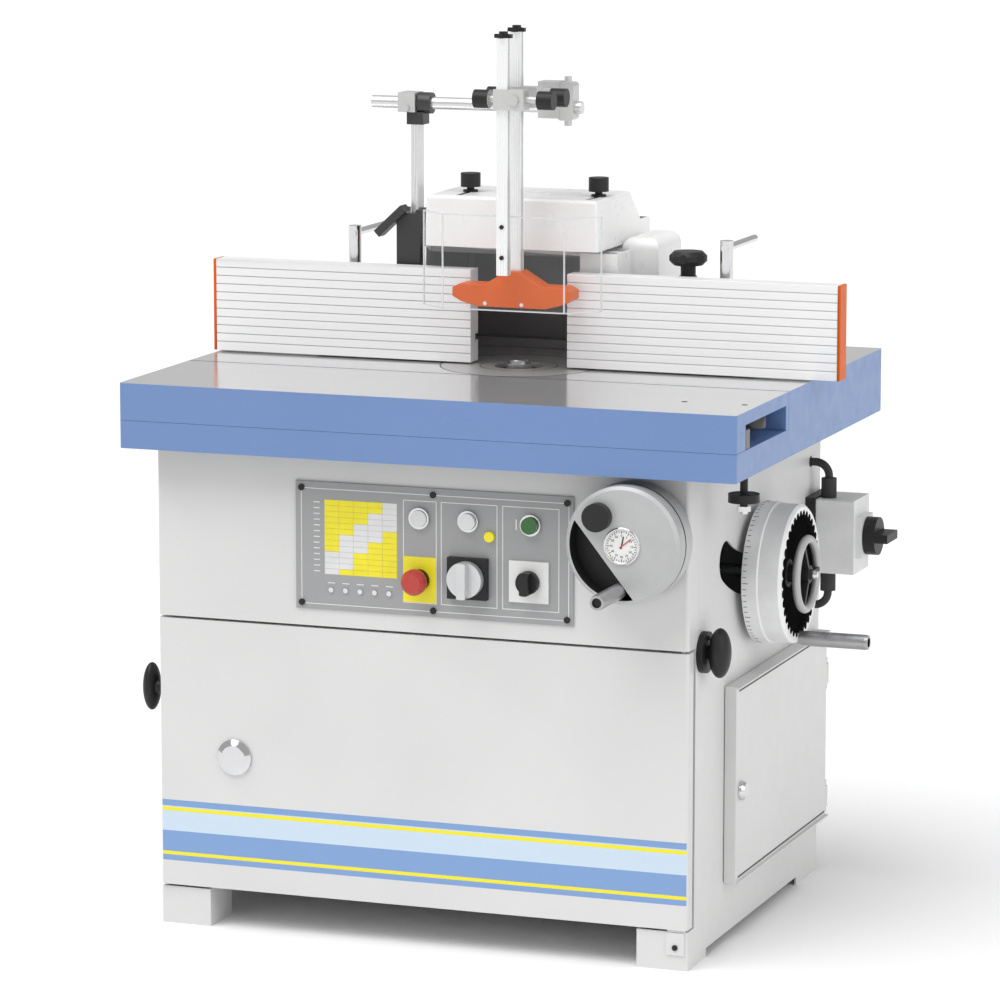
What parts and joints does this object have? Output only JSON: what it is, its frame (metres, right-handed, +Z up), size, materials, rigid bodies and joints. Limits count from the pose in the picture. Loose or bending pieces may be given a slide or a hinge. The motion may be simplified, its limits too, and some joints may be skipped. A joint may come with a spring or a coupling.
{
  "type": "spindle moulder",
  "caption": "Floor-standing tilting spindle moulder: sheet cabinet, cast table with sliding front table, split fence with dust hood, clear guard on an arm, and handwheels for height and tilt.",
  "frame": {"origin": "on the floor, under the middle of the machine's bounding box", "axes": "+X along the table to the operator's right, +Y from the front to the back, +Z up"},
  "size_m": [1.1186, 0.9013, 1.412],
  "materials": {
    "cabinet_paint": "fine textured paint",
    "table_iron": "ground top, blue painted edges",
    "machine_iron": "painted casting",
    "steel": "turned",
    "chrome": "bright plated",
    "aluminium": "anodised",
    "cast_aluminium": "bead blasted casting",
    "panel_grey": "printed plate",
    "hood_paint": "gloss white",
    "black_plastic": "moulded",
    "black_metal": "satin black",
    "grey_plastic": "moulded",
    "white_plastic": "moulded",
    "orange_plastic": "moulded",
    "red_plastic": "moulded",
    "green_plastic": "moulded",
    "clear_plastic": "clear sheet",
    "rubber": "smooth"
  },
  "bodies": {
    "machine": {"cabinet": "cabinet_paint", "right_wall": "cabinet_paint", "upper_front_panel": "cabinet_paint", "main_table": "table_iron", "table_rings": "table_iron", "slide_rail": "steel", "trunnion_brackets": "machine_iron", "control_plate": "panel_grey", "switch_bezels": "black_plastic", "isolator_box": "grey_plastic", "isolator_cables": "rubber", "electrical_tray": "cabinet_paint", "door_hinges": "steel"},
    "slide": {"sliding_table": "table_iron"},
    "tilt": {"tilt_frame": "machine_iron"},
    "screw": {"lift_screw": "steel"},
    "lift": {"spindle_housing": "machine_iron", "drive_motor": "cast_aluminium", "drive_belt": "rubber"},
    "spindle": {"spindle_shaft": "steel", "spindle_pulley": "steel"},
    "rotor": {"motor_pulley": "steel"},
    "height_wheel": {"height_wheel": "cast_aluminium"},
    "height_grip": {"height_grip": "cast_aluminium"},
    "height_lock": {"height_lock_ring": "chrome"},
    "tilt_wheel": {"tilt_wheel": "cast_aluminium", "tilt_dial": "white_plastic"},
    "tilt_grip": {"tilt_grip": "cast_aluminium"},
    "tilt_knob": {"tilt_wheel_knob": "black_plastic"},
    "front_door": {"front_door": "cabinet_paint"},
    "front_latch": {"front_latch": "chrome"},
    "side_door": {"side_door": "cabinet_paint"},
    "side_latch": {"side_latch": "chrome"},
    "estop": {"estop_button": "red_plastic"},
    "start": {"start_button": "green_plastic"},
    "feed": {"feed_button": "white_plastic"},
    "main_switch": {"main_switch_knob": "grey_plastic"},
    "selector": {"selector_knob": "black_plastic"},
    "isolator": {"isolator_knob": "black_plastic"},
    "fence": {"fence_carriage": "machine_iron", "hood_body": "hood_paint", "guard_bracket": "black_metal"},
    "hood_cover": {"hood_cover": "hood_paint"},
    "left_fence": {"left_fence": "aluminium"},
    "right_fence": {"right_fence": "aluminium"},
    "clamp_left": {"fence_clamp_left": "chrome"},
    "clamp_right": {"fence_clamp_right": "chrome"},
    "hood_knob_left": {"hood_knob_left": "black_plastic"},
    "hood_knob_right": {"hood_knob_right": "black_plastic"},
    "fence_knob": {"fence_knob": "black_plastic"},
    "spindle_lock": {"spindle_lock_knob": "black_plastic"},
    "tilt_lock": {"tilt_lock_knob": "black_plastic"},
    "table_lock": {"table_lock_knob": "black_plastic"},
    "guard_post": {"guard_post": "chrome"},
    "crossbar": {"guard_crossbar": "chrome"},
    "arm": {"guard_rod": "chrome"},
    "shield": {"shield_column": "aluminium", "guard_shield": "clear_plastic"},
    "shoe": {"shoe_column": "aluminium", "pressure_shoe": "orange_plastic"}
  },
  "joints": [
    {"name": "table_slide", "type": "slide", "parent": "machine", "child": "slide", "axis": [1, 0, 0], "range_m": [-0.3, 0.3]},
    {"name": "tilt_wheel_turn", "type": "hinge", "parent": "machine", "child": "tilt_wheel", "pos_m": [0.292, -0.3245, 0.667], "axis": [0, 1, 0], "range_deg": [0, 5400]},
    {"name": "spindle_tilt", "type": "hinge", "parent": "machine", "child": "tilt", "pos_m": [-0.021, 0.0555, 0.87], "axis": [-1, 0, 0], "range_deg": [0, 30]},
    {"name": "height_wheel_turn", "type": "hinge", "parent": "tilt", "child": "height_wheel", "pos_m": [0.409, 0.0555, 0.564], "axis": [1, 0, 0], "range_deg": [0, 20160]},
    {"name": "spindle_lift", "type": "slide", "parent": "tilt", "child": "lift", "axis": [0, 0, 1], "range_m": [0, 0.14]},
    {"name": "lift_screw_turn", "type": "hinge", "parent": "tilt", "child": "screw", "pos_m": [0.059, 0.0555, 0.7], "axis": [0, 0, 1], "range_deg": [0, 20160]},
    {"name": "motor_spin", "type": "hinge", "parent": "lift", "child": "rotor", "pos_m": [-0.021, 0.2555, 0.44], "axis": [0, 0, 1], "continuous": true},
    {"name": "spindle_spin", "type": "hinge", "parent": "lift", "child": "spindle", "pos_m": [-0.021, 0.0555, 0.6], "axis": [0, 0, 1], "continuous": true},
    {"name": "fence_slide", "type": "slide", "parent": "machine", "child": "fence", "axis": [0, 1, 0], "range_m": [-0.04, 0.02]},
    {"name": "left_fence_slide", "type": "slide", "parent": "fence", "child": "left_fence", "axis": [1, 0, 0], "range_m": [-0.04, 0.03]},
    {"name": "right_fence_slide", "type": "slide", "parent": "fence", "child": "right_fence", "axis": [1, 0, 0], "range_m": [-0.03, 0.04]},
    {"name": "hood_cover_slide", "type": "slide", "parent": "fence", "child": "hood_cover", "axis": [0, 1, 0], "range_m": [0, 0.045]},
    {"name": "guard_swing", "type": "hinge", "parent": "fence", "child": "guard_post", "pos_m": [-0.213, 0.1085, 1.08], "axis": [1, 0, 0], "range_deg": [-75, 0]},
    {"name": "crossbar_slide", "type": "slide", "parent": "guard_post", "child": "crossbar", "axis": [1, 0, 0], "range_m": [-0.05, 0.05]},
    {"name": "arm_slide", "type": "slide", "parent": "crossbar", "child": "arm", "axis": [0, 1, 0], "range_m": [-0.04, 0]},
    {"name": "shield_height", "type": "slide", "parent": "arm", "child": "shield", "axis": [0, 0, 1], "range_m": [-0.06, 0.08]},
    {"name": "shoe_height", "type": "slide", "parent": "arm", "child": "shoe", "axis": [0, 0, 1], "range_m": [-0.06, 0.08]},
    {"name": "front_door_swing", "type": "hinge", "parent": "machine", "child": "front_door", "pos_m": [0.3605, -0.267, 0.28], "axis": [0, 0, 1], "range_deg": [0, 100]},
    {"name": "front_latch_turn", "type": "hinge", "parent": "front_door", "child": "front_latch", "pos_m": [-0.372, -0.2795, 0.278], "axis": [0, 1, 0], "range_deg": [0, 90]},
    {"name": "side_door_swing", "type": "hinge", "parent": "machine", "child": "side_door", "pos_m": [0.387, 0.4015, 0.25], "axis": [0, 0, 1], "range_deg": [0, 110]},
    {"name": "side_latch_turn", "type": "hinge", "parent": "side_door", "child": "side_latch", "pos_m": [0.393, -0.0745, 0.241], "axis": [1, 0, 0], "range_deg": [0, 90]},
    {"name": "estop_press", "type": "slide", "parent": "machine", "child": "estop", "axis": [0, 1, 0], "range_m": [0, 0.005], "stiffness_N_per_m": 900, "springref_m": -0.002},
    {"name": "start_press", "type": "slide", "parent": "machine", "child": "start", "axis": [0, 1, 0], "range_m": [0, 0.004], "stiffness_N_per_m": 900, "springref_m": -0.002},
    {"name": "feed_press", "type": "slide", "parent": "machine", "child": "feed", "axis": [0, 1, 0], "range_m": [0, 0.004], "stiffness_N_per_m": 900, "springref_m": -0.002},
    {"name": "main_switch_turn", "type": "hinge", "parent": "machine", "child": "main_switch", "pos_m": [0.021, -0.2945, 0.589], "axis": [0, 1, 0], "range_deg": [-60, 60]},
    {"name": "selector_turn", "type": "hinge", "parent": "machine", "child": "selector", "pos_m": [0.119, -0.2895, 0.589], "axis": [0, 1, 0], "range_deg": [-60, 60]},
    {"name": "isolator_turn", "type": "hinge", "parent": "machine", "child": "isolator", "pos_m": [0.464, 0.3755, 0.573], "axis": [1, 0, 0], "range_deg": [0, 90]},
    {"name": "fence_clamp_left_turn", "type": "hinge", "parent": "machine", "child": "clamp_left", "pos_m": [-0.322, 0.1105, 0.98], "axis": [0, 0, 1], "range_deg": [0, 180]},
    {"name": "fence_clamp_right_turn", "type": "hinge", "parent": "machine", "child": "clamp_right", "pos_m": [0.305, 0.1105, 0.98], "axis": [0, 0, 1], "range_deg": [-180, 0]},
    {"name": "height_lock_turn", "type": "hinge", "parent": "height_wheel", "child": "height_lock", "pos_m": [0.449, 0.0555, 0.564], "axis": [1, 0, 0], "range_deg": [-90, 90]},
    {"name": "tilt_knob_turn", "type": "hinge", "parent": "tilt_wheel", "child": "tilt_knob", "pos_m": [0.255, -0.3645, 0.71], "axis": [0, 1, 0], "continuous": true},
    {"name": "spindle_lock_turn", "type": "hinge", "parent": "machine", "child": "spindle_lock", "pos_m": [0.389, -0.2125, 0.485], "axis": [1, 0, 0], "continuous": true},
    {"name": "tilt_lock_turn", "type": "hinge", "parent": "machine", "child": "tilt_lock", "pos_m": [-0.521, -0.2065, 0.365], "axis": [1, 0, 0], "continuous": true},
    {"name": "table_lock_turn", "type": "hinge", "parent": "machine", "child": "table_lock", "pos_m": [0.434, -0.2025, 0.75], "axis": [0, 0, 1], "continuous": true},
    {"name": "hood_knob_left_turn", "type": "hinge", "parent": "fence", "child": "hood_knob_left", "pos_m": [-0.125, 0.1155, 1.14], "axis": [0, 0, 1], "continuous": true},
    {"name": "hood_knob_right_turn", "type": "hinge", "parent": "fence", "child": "hood_knob_right", "pos_m": [0.091, 0.1155, 1.14], "axis": [0, 0, 1], "continuous": true},
    {"name": "fence_knob_turn", "type": "hinge", "parent": "fence", "child": "fence_knob", "pos_m": [0.242, 0.1105, 1.04], "axis": [0, 0, 1], "continuous": true},
    {"name": "height_grip_spin", "type": "hinge", "parent": "height_wheel", "child": "height_grip", "pos_m": [0.499, 0.0555, 0.462], "axis": [1, 0, 0], "continuous": true},
    {"name": "tilt_grip_spin", "type": "hinge", "parent": "tilt_wheel", "child": "tilt_grip", "pos_m": [0.285, -0.3645, 0.597], "axis": [0, 1, 0], "continuous": true}
  ],
  "couplings": [
    {"joint": "spindle_tilt", "follows": "tilt_wheel_turn", "ratio": 0.0055556},
    {"joint": "spindle_lift", "follows": "height_wheel_turn", "m_per_rad": 0.00039789},
    {"joint": "lift_screw_turn", "follows": "height_wheel_turn", "ratio": 1},
    {"joint": "spindle_spin", "follows": "motor_spin", "ratio": 1.5556}
  ]
}
